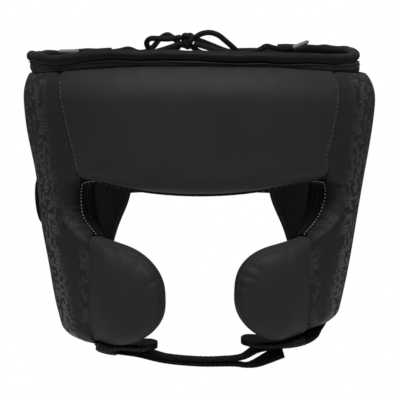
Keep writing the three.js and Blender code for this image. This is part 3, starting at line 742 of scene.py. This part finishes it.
def braid(name, dark, light):
    """Round braided lace: slanted strands round and along the cord."""
    material, tree, shader = new_material(name, dark, 0.75, 0.25)
    flat = node(tree, "UVMap").outputs["UV"]
    parts = node(tree, "SeparateXYZ", {0: flat}).outputs
    waves = []  # eight round the cord, and 3.2 radians to a millimetre along it
    for slant in (1, -1):
        turn = calc(tree, "MULTIPLY", parts["X"], slant * 50.27)
        waves.append(calc(tree, "SINE", calc(tree, "MULTIPLY_ADD", parts["Y"], 3.2, turn)))
    strand = spread_to(tree, calc(tree, "MAXIMUM", *waves), 0.0, 1.0)
    tree.links.new(tint(tree, strand, dark, light), shader.inputs["Base Color"])
    bump(tree, shader, strand, 0.0004, 0.7)
    return material


def plain(name, dark, light, roughness=0.6, specular=0.3):
    """Even material with slight cloudy variation."""
    material, tree, shader = new_material(name, dark, roughness, specular)
    cloud = noise(tree, node(tree, "TexCoord").outputs["Object"], 300.0, 2.0)
    tree.links.new(tint(tree, cloud, dark, light), shader.inputs["Base Color"])
    tree.links.new(spread_to(tree, cloud, roughness - 0.06, roughness + 0.06), shader.inputs["Roughness"])
    bump(tree, shader, cloud, 0.0002, 0.2)
    return material


COVER = leather("cover_leather", 0.0242, 0.0294, 0.58, 0.2)
PRINT_AND_SHEEN = leather("cover_print_and_sheen", 0.0205, 0.0255, 0.58, 0.14, print_and_sheen_on=True)
COLLAR = leather("collar_leather", 0.017, 0.022, 0.56, 0.2)
TRIM = leather("trim_leather", 0.0038, 0.0064, 0.52, 0.18)
LINING = textile("lining_textile", 0.0026, 0.009, 1.1)
TAPE = textile("binding_tape", 0.0034, 0.01, 0.8)
# Binding ribbon, also laid on the outline faces of the side pads and their linings. It is lighter than the
# lining cloth there as painted light over the shade the brow casts beside the eye opening
RIBBON_AND_PAINTED_LIGHT = textile("edge_ribbon_and_painted_light", 0.007, 0.018, 0.8)
WEBBING = textile("webbing", 0.0032, 0.0105, 1.3)
LACE = braid("lace_braid", 0.003, 0.012)
THREAD = plain("thread", 0.58, 0.78)
SEAM_THREAD = plain("seam_thread", 0.04, 0.075)
DARK_THREAD = plain("dark_thread", 0.007, 0.013)
PALE_THREAD = plain("pale_thread", 0.12, 0.19)
PIPING = plain("piping", 0.016, 0.026, 0.38, 0.4)
TIP = plain("clear_tip", 0.17, 0.24, 0.25, 0.5)


def stand_in(piece, node_name):
    """Show a piece in place of a solid."""
    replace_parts(piece, node_name)


def finish_pad(piece, node_name):
    stand_in(piece, node_name)


# Pads
def close_lines(count):
    """Lines from 0 to 1, closer together at both ends."""
    return (1 - np.cos(np.linspace(0, math.pi, count))) / 2


def outline_turns(count):
    """Turns round a square outline, spaced evenly along its sides."""
    run = np.arange(count) * 8 / count
    s = np.select([run < 1, run < 3, run < 5, run < 7], [run, 1, 4 - run, -1], run - 8)
    c = np.select([run < 1, run < 3, run < 5, run < 7], [1, 2 - run, -1, run - 6], 1)
    return np.arctan2(s, c)


def forehead_grid(columns, rows, spread):
    """Angles and heights over the forehead, for columns and rows from 0 to 1."""
    across, up = np.meshgrid(columns, rows)
    guess = (2 * across - 1) * BROW_HALF_ANGLE
    z = lerp(brow_edge(guess), pad_top(spread * guess), up)
    return (2 * across - 1) * forehead_half(z, guess), z


def build_forehead():
    angle, z = forehead_grid(close_lines(150), close_lines(84), 1.14)
    outer = forehead_point(angle, z)
    inner = shell(angle, z, -inner_depth(angle, z))
    piece = slab("forehead_pad_cover", outer, inner, [COVER, LINING], unrolled(angle, z))
    finish_pad(piece, "forehead_pad")


def side_rings(sign, reaches, turns):
    """Angles and heights on rings from the ear opening to the outline of a side pad."""
    c, s = np.cos(turns), np.sin(turns)
    sharp = np.where(c < 0, 30.0, np.where(s > 0, 12.0, 5.0))
    reach = (np.abs(c) ** sharp + np.abs(s) ** sharp) ** (-1 / sharp)
    across, up = (1 + c * reach) / 2, (1 + s * reach) / 2
    rim_z = lerp(side_bottom(across, sign), pad_top(lerp(50, 146, across)), up)
    rim_angle = lerp(side_front(rim_z, sign) + PAD_GAP, side_rear(rim_z), across)
    ear_angle = EAR["angle"] + math.degrees(EAR["half_width"] / EAR["radius"]) * c
    ear_z = EAR["z"] + EAR["half_height"] * s
    angle = lerp(ear_angle, rim_angle, reaches)
    return angle, lerp(ear_z, rim_z, reaches)


def build_side(sign):
    name = f"side_pad_{side_name(sign)}"
    lines = np.append(close_lines(64), 1)  # the last line turns over the edge
    reaches, turns = np.meshgrid(lines, outline_turns(320), indexing="ij")
    angle, z = side_rings(sign, reaches, turns)
    out = side_out(sign, angle, z)
    out[-1] = np.maximum(out[-1] - EDGE_TURN, 1 - inner_depth(angle[-1], z[-1]))
    outer = shell(sign * angle, z, out)
    reaches[-2] = (reaches[-3] + 1) / 2
    back_angle, back_z = side_rings(sign, reaches, turns)
    inner = shell(sign * back_angle, back_z, -inner_depth(back_angle, back_z))
    # The share draws the mosaic print together with its painted sheen
    materials, share = [PRINT_AND_SHEEN, LINING, RIBBON_AND_PAINTED_LIGHT], print_and_sheen_share(sign, angle, z)
    # The outline of the pad takes the lighter ribbon cloth: painted light over the brow's shadow beside the
    # eye opening
    piece = slab(f"{name}_cover", outer, inner, materials, unrolled(angle, z), True, share)
    finish_pad(piece, name)


def build_cheek(sign):
    name = f"cheek_pad_{side_name(sign)}"
    lines = 2 * close_lines(120) - 1
    s, t = np.meshgrid(lines, lines)
    reach = np.maximum(np.abs(s), np.abs(t))
    size = np.maximum(np.hypot(s, t), 1e-9)
    c, b = s / size, t / size
    norm = cheek_norm(c, b)
    a, b = reach * c / norm, reach * b / norm
    angle, z = cheek_place(sign, a, b)
    inner = shell(sign * angle, z, cheek_out(sign, a, b)[1])
    piece = slab(f"{name}_cover", cheek_point(sign, a, b), inner, [COVER, COVER], unrolled(angle, z))
    finish_pad(piece, name)


def build_linings():
    """Textile wall behind the pads, quilted in upright channels."""
    grids = [("lining_front", *forehead_grid(np.linspace(0, 1, 90), np.linspace(0, 1, 44), 1), 1, False)]
    for sign in (1, -1):
        reaches, turns = np.meshgrid(close_lines(46), outline_turns(220), indexing="ij")
        grids.append((f"lining_{side_name(sign)}", *side_rings(sign, reaches, turns), sign, True))
    for name, angle, z, sign, wrap in grids:
        channel = 1 - hump((((angle + 4) % 16) - 8) * DEGREE, 0, 3)
        depth = inner_depth(angle, z) + 0.4
        edge = smoothstep(pad_top(angle) - z, 2, 9)
        outer = shell(sign * angle, z, -depth)
        inner = shell(sign * angle, z, -depth - 2 - 0.9 * channel * edge)
        piece = slab(name, outer, inner, [LINING, LINING, RIBBON_AND_PAINTED_LIGHT], unrolled(angle, z), wrap)
        stand_in(piece, "lining")


# Rim, bindings and seams
def around_guard(path):
    """Outward directions at the points of a path round the guard."""
    return unit(path * np.array([1, 1, 0]))


def binding(name, slot, path, half_width, half_depth, material):
    """Rounded tape or piping along a path round the guard."""
    _, aside, up = path_frames(path, around_guard(path))
    piece = sweep(name, path, aside, up, circle(14), half_width, half_depth, material)
    return piece


def build_rim():
    """Rolled binding along the rim, a thin welt under it and the collar down to the pads."""
    angle = np.linspace(-RIM_END, RIM_END, 640)
    run = angle * DEGREE

    def uneven(length, seed):
        return ripple(run, 0 * run, length, seed)

    top = rim_lift(angle) + 0.4 * uneven(38, 51) + 0.12 * uneven(14, 52)
    tuck = RIM_TUCK["depth"] * hump(angle, RIM_TUCK["angle"], RIM_TUCK["width"])
    inset = RIM_ROLL["inset"] + tuck + 0.4 * uneven(40, 53)
    path = shell(angle, top - RIM_ROLL["height"] / 2, -inset)
    _, aside, up = path_frames(path, around_guard(path))
    crimp = 0.22 * uneven(19, 54)
    size = RIM_ROLL["half_width"] + crimp, RIM_ROLL["half_depth"] + crimp
    stand_in(sweep("rim_binding", path, aside, up, circle(20), *size, TRIM), "top_binding")
    front = np.abs(angle) < WELT["end"]
    welt = shell(angle, top - WELT["drop"], 0.4 * uneven(30, 56) - WELT["inset"] - tuck)[front]
    half_width = np.interp(np.abs(angle[front]), (0, 40, WELT["end"]), (0.4, 0.3, 0.1))
    binding("rim_welt", "cover", welt, half_width, WELT["half_depth"], PIPING)
    t = np.linspace(0, 1, 12)[:, None]
    z = lerp(pad_top(angle) - 2.5, rim_lift(angle) - 6.5, t)
    flare = lerp(COLLAR_BAND["low_out"], COLLAR_BAND["out"], smoothstep(t, 0, 0.6))
    out = flare + 0.3 * uneven(22, 57) - tuck
    outer, inner = shell(angle, z, out), shell(angle, z, out - COLLAR_BAND["thickness"])
    stand_in(slab("collar_band", outer, inner, [COLLAR, LINING], unrolled(angle, z)), "collar")


def eye_path():
    """Line round the eye opening, from one cheek pad over the brow to the other."""
    brow, side = np.linspace(-41, 41, 47), np.linspace(-88, -123, 26)
    left, right = (sign * (side_front(side, sign) - 0.4) for sign in (1, -1))
    angle = np.concatenate([right[::-1], brow, left])
    z = np.concatenate([side[::-1], brow_edge(brow) - 0.5, side])
    out = lerp(1.4 - inner_depth(angle, z), EYE_EDGE - 4, smoothstep(np.abs(angle), 30, 43))
    return smooth_path(shell(angle, z, out), 3)


def edge_rows(sign, turns, reach):
    angle, z = side_rings(sign, np.full_like(turns, reach), turns)
    return sign * angle, z, inner_depth(angle, z)


def build_eye_edge():
    """Binding round the eye opening, with two rows of stitches at its sides and one along the brow."""
    path = eye_path()
    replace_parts(binding("eye_binding", "lining", path, *BINDINGS["eye"], RIBBON_AND_PAINTED_LIGHT), "face_binding")
    _, aside, up = path_frames(path, around_guard(path))
    inward = -aside if aside[len(path) // 2][2] > 0 else aside
    row, row_facing = path + 2.1 * up + 0.8 * inward, up + inward
    deep = path - 4.4 * up - 0.5 * inward
    side = np.abs(np.degrees(np.arctan2(path[:, 0], -path[:, 1]))) > 41
    ends = side & (path[:, 0] > 0), side & (path[:, 0] < 0)
    runs = [(row[part], row_facing[part]) for part in ends]
    stitches("eye_stitches", runs, THREAD, pitch=2.3, length=1.0, radius=0.3)
    runs = [(deep[part], inward[part]) for part in ends]
    stitches("eye_inner_stitches", runs, PALE_THREAD, pitch=2.3, length=0.8)
    runs = [(row[~side], row_facing[~side])]
    stitches("brow_stitches", runs, PALE_THREAD, pitch=4.4, length=1.3, radius=0.22)


def build_pad_edges(sign):
    """Bindings along the rear and lower edges of a side pad and round its ear, and piping at its hem."""
    side = side_name(sign)
    angle, z, depth = edge_rows(sign, np.linspace(0.24 * math.pi, -0.6 * math.pi, 150), 1.008)
    path = shell(angle, z, 0.6 - depth)
    tape = binding(f"edge_binding_{side}_tape", "lining", path, *BINDINGS["edge"], RIBBON_AND_PAINTED_LIGHT)
    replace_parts(tape, f"edge_binding_{side}")
    _, _, up = path_frames(path, around_guard(path))
    runs = [(path + BINDINGS["edge"][1] * up, up)]
    stitches(f"edge_stitches_{side}", runs, DARK_THREAD)
    angle, z, _ = edge_rows(sign, np.linspace(-0.3 * math.pi, -0.745 * math.pi, 120), 1.0)
    hem = shell(angle, z, side_out(sign, np.abs(angle), z))
    binding(f"hem_piping_{side}", "cover", hem, *BINDINGS["hem"], PIPING)
    angle, z, depth = edge_rows(sign, np.linspace(0, 2 * math.pi, 97), 0.0)
    lip, inside = shell(angle, z, -EAR["lip"] * depth - 0.6), shell(angle, z, -depth - 1.6)
    binding(f"ear_binding_{side}", "cover", lip, *BINDINGS["ear"], TRIM)
    binding(f"ear_lining_binding_{side}", "lining", inside, *BINDINGS["ear_lining"], TAPE)


def cheek_run(sign, a, b):
    """Path over a cheek pad, and its outward directions."""
    def surface(p, q):
        return cheek_point(sign, p, q)
    return surface(a, b), facing(surface, a, b, 0.004)


def build_seams():
    """Stitches along the seams between the pads and round the front panels of the cheek pads."""
    z, b = np.linspace(-80, -20, 60), np.linspace(-0.86, 0.86, 50)
    runs = []
    for sign in (1, -1):
        angle = sign * (forehead_half(z, sign) - 1.2)
        runs.append((forehead_point(angle, z), facing(forehead_point, angle, z, 0.1)))
    stitches("forehead_stitches", runs, PALE_THREAD, radius=0.22)
    for sign in (1, -1):
        side = side_name(sign)
        run = cheek_run(sign, 0 * b - 0.95, b)
        stitches(f"cheek_stitches_{side}", [run], SEAM_THREAD, radius=0.2)
        for name, first, last in (("panel", -0.4, 1.0), ("brow", 1.0, 2.3)):
            turn = np.linspace(first, last, 90)
            c, s = np.cos(turn), np.sin(turn)
            reach = CHEEK_SEAM / cheek_norm(c, s)
            run = cheek_run(sign, reach * c, reach * s)
            stitches(f"cheek_{name}_stitches_{side}", [run], DARK_THREAD)


# Straps
def strap(name, path, aside, half, thickness, material):
    """Flat strap whose half width is given at each point."""
    ahead = unit(np.gradient(path, axis=0))
    up = unit(np.cross(ahead, aside))
    corner = thickness / 2 / np.max(half)
    return sweep(name, path, aside, up, flat_section(corner), half, thickness / 2, material), up


def rounded(to_end, half):
    """Half width of a strap that ends in a half circle."""
    return half * np.sqrt(np.maximum(0.01, 1 - np.maximum(0, 1 - to_end / half) ** 2))


def build_rear_strap():
    """Wide hook-and-loop strap across the back, its rounded end free on the wearer's right."""
    first, last = REAR_STRAP["angle"][0], REAR_STRAP["angle"][-1]
    tip = last - 9 * np.linspace(1, 0, 30)[1:] ** 1.8
    angle = np.concatenate([np.linspace(first, last - 9, 110), tip])
    low, high, out = (read(REAR_STRAP, angle, column) for column in ("low", "high", "out"))
    path = shell(angle, (low + high) / 2, out)
    aside = unit(shell(angle, high, out) - shell(angle, low, out))
    half = rounded((last - angle) * REAR_DEGREE, (high - low) / 2)
    piece, up = strap("rear_strap_band", path, aside, half, REAR_STRAP_THICKNESS, WEBBING)
    stand_in(piece, "rear_strap")
    outward = up * np.sign((up * around_guard(path)).sum(-1, keepdims=True))
    face = path + (REAR_STRAP_THICKNESS / 2 + 0.05) * outward
    wide = half > 6
    runs = [((face + side * aside * (half - 3.2)[:, None])[wide], outward[wide]) for side in (-1, 1)]
    across = np.linspace(-0.86, 0.86, 40)[:, None]
    for k in (8, 20):
        runs.append((face[k] + across * half[k] * aside[k], np.repeat(outward[k][None], 40, axis=0)))
    stitches("rear_strap_stitches", runs, SEAM_THREAD)


def build_chin(name, rows):
    """Chin strap of webbing, or chin tab of leather with a rounded end, along its centre line."""
    rows = np.array(rows, float)
    path = smooth_path(rows[:, :3], 24)
    tilt = np.radians(np.interp(np.linspace(0, len(rows) - 1, len(path)), range(len(rows)), rows[:, 3]))
    ahead = unit(np.gradient(path, axis=0)) * np.sign(rows[-1, 0] - rows[0, 0])
    aside = unit(side_by_side(-ahead[:, 1], ahead[:, 0], 0)) * np.cos(tilt)[:, None]
    aside[:, 2] = np.sin(tilt)
    steps = run_length(path)
    half = np.full(len(path), STRAP_WIDTH / 2)
    thickness, material, slot = STRAP_THICKNESS, WEBBING, "webbing"
    tab = "tab" in name
    if tab:
        thickness, material, slot = TAB_THICKNESS, TRIM, "cover"
        half = rounded(np.minimum(steps[-1] - steps, 2 * steps + 2), STRAP_WIDTH / 2)
        path[:, 2] += 0.35 * ripple(steps, 0 * steps, 11, len(name)) - (thickness - STRAP_THICKNESS) / 2
    piece, up = strap(f"{name}_band", path, aside, half, thickness, material)
    stand_in(piece, name)
    if name == "chin_strap_right":
        root = steps < ROOT["length"]
        end = path[root], aside[root], half[root] + 0.6
        strap(f"{name}_root", *end, ROOT["thickness"], COVER)[0]
    wide = half > 4
    runs = []
    for face in (-1, 1):
        lift = face * up * (thickness / 2 + 0.05)
        for edge in (-1, 1):
            row = path + lift + edge * aside * (half - 2.4)[:, None]
            runs.append((row[wide], (face * up)[wide]))
    if tab:
        runs.append(((path - aside * half[:, None])[wide], -aside[wide]))
    thread = SEAM_THREAD if name == "chin_tab_right" else DARK_THREAD
    stitches(f"{name}_stitches", runs, thread, radius=0.2)


# Laces
def tube(name, path, radius, material, sides=12):
    _, aside, up = path_frames(path)
    return sweep(name, path, aside, up, circle(sides), radius, radius, material)


def lace_route():
    """Path of the lace: from the knot through the collar, over and back across the crown, to the knot."""
    first, second, third, fourth = SLOTS

    def pair(sign, start, end):
        step = math.copysign(1, end - start)
        (turn, out), (last_turn, last_out) = SLOTS[start], SLOTS[end]
        rows = ((start - turn * step, out), (start, SLOT_OUT), ((start + end) / 2, WEAVE_OUT),
                (end, SLOT_OUT), (end + last_turn * step, last_out))
        return [shell(sign * angle, LACE_HEIGHT, height) for angle, height in rows]

    x, y, z = KNOT
    return [
        (x + 4.6, y - 3.6, z - 2.4), (20, 23.5, -5), (55, 22, -7.5), *pair(1, first, second),
        (40, 64, LACE_HEIGHT - 3.4), (-40, 68, LACE_HEIGHT - 3.4), *pair(-1, third, fourth),
        (-30, 93, LACE_HEIGHT - 1), (30, 93, LACE_HEIGHT - 1), *pair(1, fourth, third),
        (45, 70, LACE_HEIGHT + 9), (-40, 64, LACE_HEIGHT + 2.6), *pair(-1, second, first),
        (-60, 22, -7.5), (-34, 23.5, -5), (x - 4.6, y - 3.6, z - 2.4),
    ]


def lace(name, points, steps):
    path = smooth_path(points, steps)
    piece = tube(f"{name}_cord", path, LACE_FULLNESS * LACE_DIAMETER / 2, LACE)
    stand_in(piece, name)


def build_knot():
    """Small overhand knot: a closed trefoil."""
    turn = np.linspace(0, 2 * math.pi, 141)
    x, y, z = KNOT
    path = side_by_side(
        x + 1.05 * (np.sin(turn) + 2 * np.sin(2 * turn)),
        y - 2.2 * np.sin(3 * turn),
        z + 1.55 * (np.cos(turn) - 2 * np.cos(2 * turn)),
    )
    stand_in(tube("lace_knot_cord", path[:-1], KNOT_FULLNESS * LACE_DIAMETER / 2, LACE), "lace_knot")


def build_aglet(name, tail, rise):
    end, before = (np.array(point, float) for point in (tail[-1], tail[-2]))
    ahead = unit((end - before) * np.array([1, 1, 0]))
    ahead[2] = rise
    share = np.array([-0.02, 0, 0.03, 0.06, 0.1, 0.14, 0.5, 0.9, 0.96, 0.99, 1.04])
    size = np.array([0.8, 0.97, 1, 0.9, 0.9, 1, 0.98, 0.94, 0.86, 0.66, 0.35])
    path = end + unit(ahead) * (share * AGLET["length"])[:, None]
    piece = tube(f"{name}_tip", path, AGLET["fullness"] * size * AGLET["diameter"] / 2, TIP, 16)
    stand_in(piece, name)
    return piece


def build_eyelets(sign):
    """Small rings round the slots of the collar, outside and inside."""
    ring, section = circle(28), circle(8) * (EYELET["half_width"], EYELET["half_depth"])
    upward = np.array([0, 0, 1])
    points, faces = [], []
    outside = COLLAR_BAND["out"] - 0.1
    for angle in SLOTS:
        for out, face in ((outside, 1), (outside - EYELET["apart"], -1)):
            spot = shell(sign * angle, LACE_HEIGHT, out)
            outward = around_guard(spot) * face
            aside = unit(np.cross(outward, upward))
            index = len(points) + np.arange(len(ring) * len(section)).reshape(len(ring), -1)
            for c, s in ring:
                across = c * aside + s * upward
                middle = spot + EYELET["radius"] * across
                points += [middle + across * u + outward * v for u, v in section]
            index = np.vstack([index, index[:1]])
            faces += quads(np.hstack([index, index[:, :1]]))
    make(f"eyelets_{side_name(sign)}", points, faces, [PIPING])


def build_laces():
    lace("crown_lace", lace_route(), 10)
    for name, points in LOOPS.items():
        lace(name, points, 8)
    for name, points in TAILS.items():
        side = name.split("_")[-1]
        tip = build_aglet(f"aglet_{side}", points, AGLET["rise"][side])
        lace(name, points, 9)
    build_knot()


build_forehead()
for sign in (1, -1):
    build_side(sign)
    build_cheek(sign)
build_linings()
build_rim()
build_eye_edge()
for sign in (1, -1):
    build_pad_edges(sign)
build_seams()
build_rear_strap()
for name, rows in CHIN.items():
    build_chin(name, rows)
build_laces()
for sign in (1, -1):
    build_eyelets(sign)


# Camera, light and floor, in metres
VIEW = {"target": (0, 0, -0.106), "distance": 1.5, "rise": 5, "width": 0.276}
FLOOR = {"height": -0.55, "reach": 1.1, "shade": 0.82, "glow": 0.5}


def aim(item, target):
    item.rotation_euler = (Vector(target) - item.location).to_track_quat("-Z", "Y").to_euler()


def add_camera():
    data = bpy.data.cameras.new("camera")
    data.sensor_width = 36
    data.lens = data.sensor_width * VIEW["distance"] / VIEW["width"]
    camera = add_object("camera", data)
    rise = math.radians(VIEW["rise"])
    back = Vector((0, -math.cos(rise), math.sin(rise)))
    camera.location = Vector(VIEW["target"]) + VIEW["distance"] * back
    aim(camera, VIEW["target"])
    bpy.context.scene.camera = camera


def add_light(name, place, target, size, watts):
    data = bpy.data.lights.new(name, "AREA")
    data.shape = "RECTANGLE"
    data.size, data.size_y = size
    data.energy = watts
    light = add_object(name, data)
    light.location = place
    aim(light, target)


def add_floor():
    """Pale plain floor, as white to the eye as the backdrop."""
    data = bpy.data.meshes.new("floor")
    reach = FLOOR["reach"]
    corners = [(-reach, -reach, 0), (reach, -reach, 0), (reach, reach, 0), (-reach, reach, 0)]
    data.from_pydata(corners, [], [(0, 1, 2, 3)])
    material, tree, shader = new_material("floor_white", FLOOR["shade"], 0.9, 0.1)
    shader.inputs["Base Color"].default_value = (FLOOR["shade"], FLOOR["shade"], FLOOR["shade"], 1)
    shader.inputs["Emission Color"].default_value = (1, 1, 1, 1)
    seen = node(tree, "LightPath").outputs["Is Camera Ray"]
    tree.links.new(spread_to(tree, seen, 0.0, FLOOR["glow"]), shader.inputs["Emission Strength"])
    data.materials.append(material)
    floor = add_object("floor", data)
    floor.location.z = FLOOR["height"]


def set_world():
    """White backdrop that lights the guard less than it shows, and least from below."""
    world = bpy.data.worlds.new("studio")
    bpy.context.scene.world = world
    world.use_nodes = True
    tree = world.node_tree
    soft = tree.nodes["Background"]
    soft.inputs["Color"].default_value = (1, 1, 1, 1)
    way = node(tree, "TexCoord").outputs["Generated"]
    rise = node(tree, "SeparateXYZ", {0: way}).outputs["Z"]
    sky = {"Value": rise, "From Min": -0.1, "From Max": 0.6, "To Min": 0.04, "To Max": 0.42}
    tree.links.new(node(tree, "MapRange", sky).outputs["Result"], soft.inputs["Strength"])
    white = node(tree, "Background", {"Color": (1, 1, 1, 1), "Strength": 1.0})
    seen = node(tree, "LightPath").outputs["Is Camera Ray"]
    mix = node(tree, "MixShader", {0: seen, 1: soft.outputs[0], 2: white.outputs[0]})
    tree.links.new(mix.outputs[0], tree.nodes["World Output"].inputs["Surface"])


add_camera()
add_floor()
set_world()
add_light("key", (0, -0.9, 1.5), target=(0, 0, -0.08), size=(1.6, 1.0), watts=19.5)
for name, x in (("left_fill", -1.4), ("right_fill", 1.4)):
    add_light(name, (x, -0.6, 1.0), target=(0, 0, -0.06), size=(0.9, 1.2), watts=3.6)
bpy.context.scene.view_settings.view_transform = "Standard"
